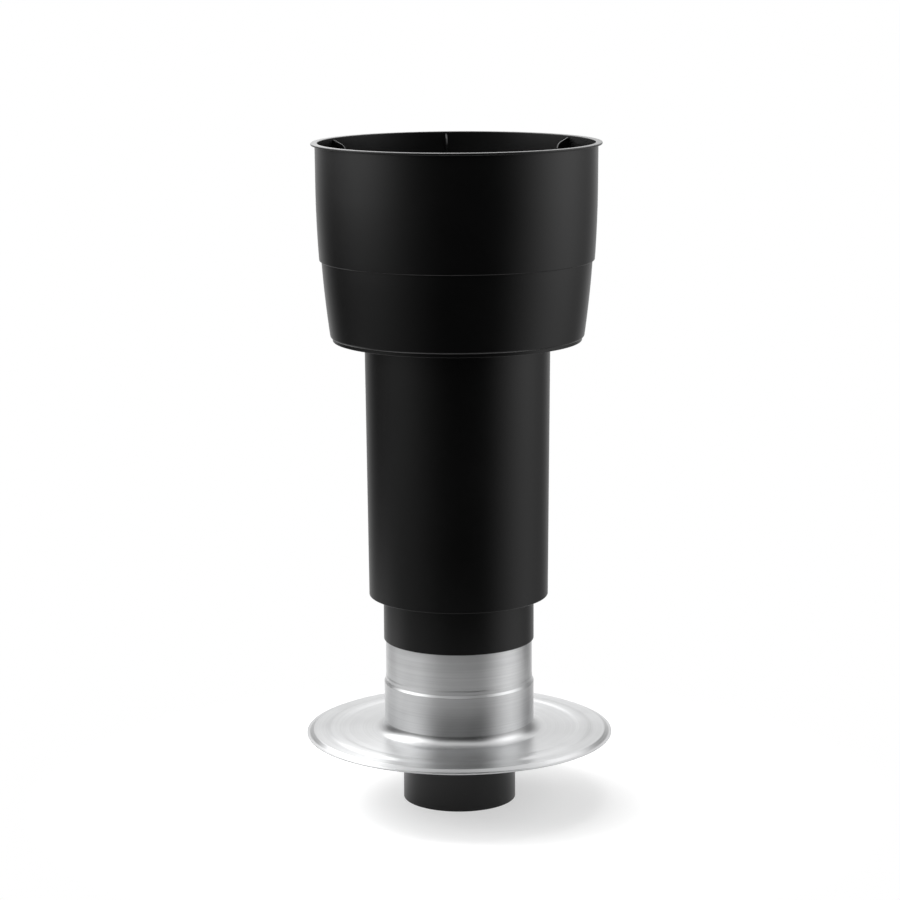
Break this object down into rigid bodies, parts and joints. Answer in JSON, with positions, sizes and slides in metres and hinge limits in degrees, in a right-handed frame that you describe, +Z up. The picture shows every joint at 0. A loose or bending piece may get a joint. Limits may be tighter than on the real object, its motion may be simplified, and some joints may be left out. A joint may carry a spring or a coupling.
{
  "type": "roof vent terminal",
  "caption": "Open-topped black roof vent terminal with a tapered sleeve over an insulated pipe, an aluminium collar and a round flashing plate.",
  "frame": {"origin": "centre of the air duct's lower end", "axes": "+Z up along the common axis of duct, pipe and hood; the picture is seen from -Y"},
  "size_m": [0.3402, 0.3402, 0.732],
  "materials": {
    "duct_plastic": "satin black, extruded",
    "pipe_plastic": "satin black, smooth",
    "hood_plastic": "satin black, moulded",
    "inner_plastic": "fine grained black, moulded",
    "spun_aluminium": "spun, with fine turning lines",
    "foam": "grey bead foam",
    "seal_rubber": "matt black",
    "screw_steel": "plain stainless"
  },
  "bodies": {
    "root": {"inner_duct": "duct_plastic", "roof_pipe": "pipe_plastic", "outer_sleeve": "pipe_plastic", "hood_bowl": "hood_plastic", "hood_ring": "hood_plastic", "rain_cap": "inner_plastic", "flow_cone": "inner_plastic", "outlet_nozzle": "inner_plastic", "hood_support": "inner_plastic", "lower_spacer": "inner_plastic", "upper_spacer": "inner_plastic", "bottom_plug": "inner_plastic", "flashing_plate": "spun_aluminium", "roof_collar": "spun_aluminium", "insulation_half_left": "foam", "insulation_half_right": "foam", "collar_seal": "seal_rubber", "duct_seal": "seal_rubber", "ring_screws": "screw_steel", "support_screws": "screw_steel", "cap_screws": "screw_steel", "nozzle_screws": "screw_steel"}
  },
  "joints": []
}
